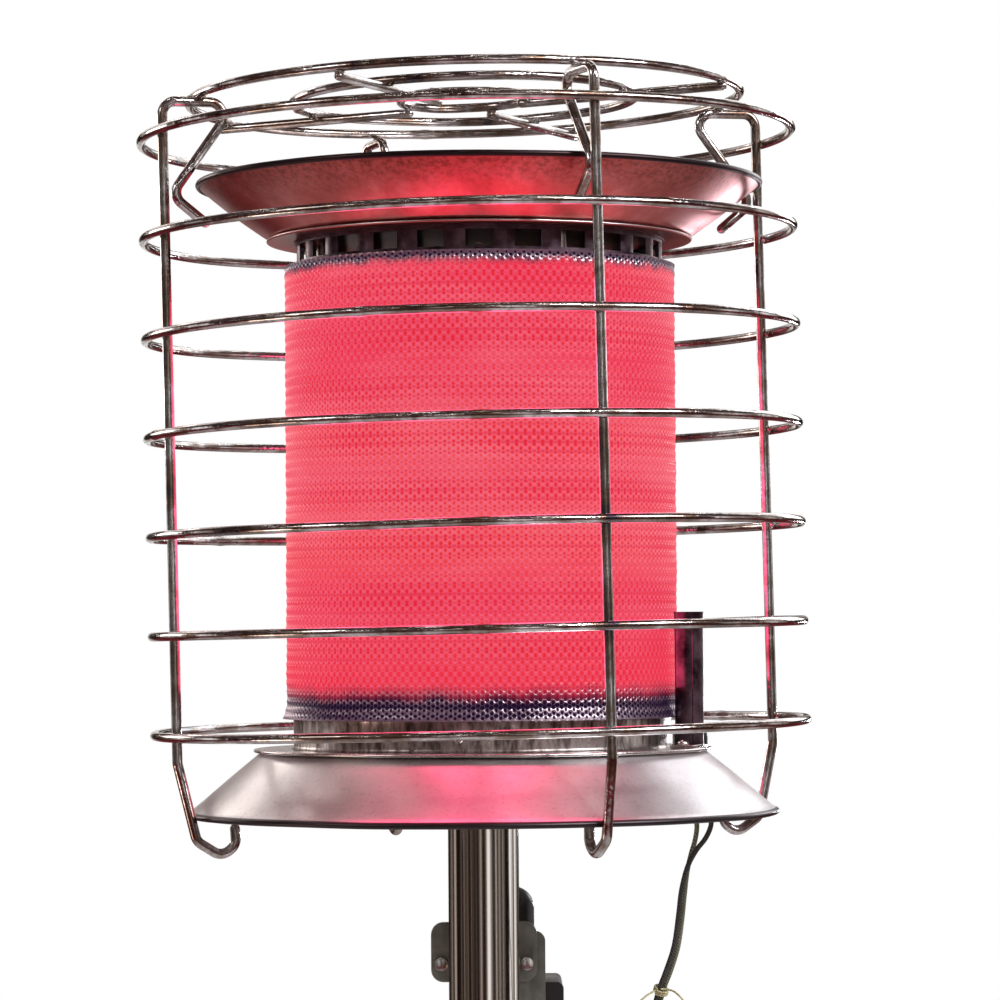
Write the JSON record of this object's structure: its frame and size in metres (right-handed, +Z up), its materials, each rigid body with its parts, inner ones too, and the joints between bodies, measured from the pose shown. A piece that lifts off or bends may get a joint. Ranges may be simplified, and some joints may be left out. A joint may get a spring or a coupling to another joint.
{
  "type": "outdoor gas heater",
  "caption": "Free-standing outdoor gas heater: round glowing burner in a wire guard between two reflectors, on a steel pole with a rear control box and a round base.",
  "frame": {"origin": "on the ground under the middle of the pole", "axes": "+Z up along the pole, +Y towards the control box, +X to the right seen from the side away from the controls"},
  "size_m": [0.48, 0.48, 1.8853],
  "materials": {
    "guard_wire": "bright nickel-plated wire",
    "reflector_steel": "satin spun sheet",
    "plate_steel": "bright rolled sheet",
    "heat_tinted_steel": "heat-darkened sheet",
    "glowing_mesh": "red-hot perforated sheet",
    "inner_steel": "plain",
    "zinc_fastener": "zinc plated",
    "ceramic": "glazed",
    "brass": "machined",
    "pipe": "drawn",
    "pole_steel": "polished tube",
    "cast_bracket": "grey painted",
    "black_plastic": "moulded",
    "red_plastic": "moulded",
    "lead_green": "braided sleeve",
    "lead_black": "sleeve",
    "tie": "waxed twist",
    "foot_rubber": "matt",
    "base_paint": "powder coated"
  },
  "bodies": {
    "heater": {"guard_hoop_1": "guard_wire", "guard_hoop_2": "guard_wire", "guard_hoop_3": "guard_wire", "guard_hoop_4": "guard_wire", "guard_hoop_5": "guard_wire", "guard_hoop_6": "guard_wire", "guard_hoop_7": "guard_wire", "guard_upright_1": "guard_wire", "guard_upright_2": "guard_wire", "guard_upright_3": "guard_wire", "guard_upright_4": "guard_wire", "guard_top_ring_outer": "guard_wire", "guard_top_ring_middle": "guard_wire", "guard_top_ring_inner": "guard_wire", "guard_spokes": "guard_wire", "upper_reflector": "reflector_steel", "top_plate": "plate_steel", "vent_collar": "heat_tinted_steel", "glow_screen": "glowing_mesh", "lower_collar": "heat_tinted_steel", "burner_plate": "plate_steel", "lower_reflector": "reflector_steel", "tie_rods": "zinc_fastener", "tie_rod_nuts": "zinc_fastener", "inner_screen": "inner_steel", "baffle_plate": "inner_steel", "burner_drum": "inner_steel", "mixer_tube": "inner_steel", "gas_orifice": "brass", "burner_pipe": "pipe", "supply_pipe": "pipe", "pilot_pipe": "pipe", "gas_inlet": "brass", "pilot_shield": "heat_tinted_steel", "pilot_bracket": "plate_steel", "pilot_screws": "zinc_fastener", "thermocouple": "zinc_fastener", "igniter_electrode": "ceramic", "thermocouple_lead": "lead_green", "igniter_lead": "lead_black", "lead_tie": "tie", "lead_gland": "black_plastic", "pole_socket": "inner_steel", "head_screws": "zinc_fastener", "pole": "pole_steel", "saddle_bracket": "cast_bracket", "box_bracket": "cast_bracket", "bracket_bolts": "zinc_fastener", "control_box": "black_plastic", "control_cover": "black_plastic", "cover_screws": "zinc_fastener", "gas_valve": "brass", "regulator_cap": "black_plastic", "base_plate": "base_paint", "base_cover": "reflector_steel", "base_bolts": "zinc_fastener", "rubber_feet": "foot_rubber"},
    "valve_spindle": {"valve_spindle": "zinc_fastener"},
    "control_knob": {"control_knob": "black_plastic"},
    "igniter_button": {"igniter_button": "red_plastic"}
  },
  "joints": [
    {"name": "knob_push", "type": "slide", "parent": "heater", "child": "valve_spindle", "axis": [0, -1, 0], "range_m": [0, 0.004], "stiffness_N_per_m": 400, "springref_m": -0.002},
    {"name": "knob_turn", "type": "hinge", "parent": "valve_spindle", "child": "control_knob", "pos_m": [0.018, 0.094, 1.283], "axis": [0, -1, 0], "range_deg": [0, 180]},
    {"name": "button_press", "type": "slide", "parent": "heater", "child": "igniter_button", "axis": [0, -1, 0], "range_m": [0, 0.005], "stiffness_N_per_m": 400, "springref_m": -0.002}
  ]
}
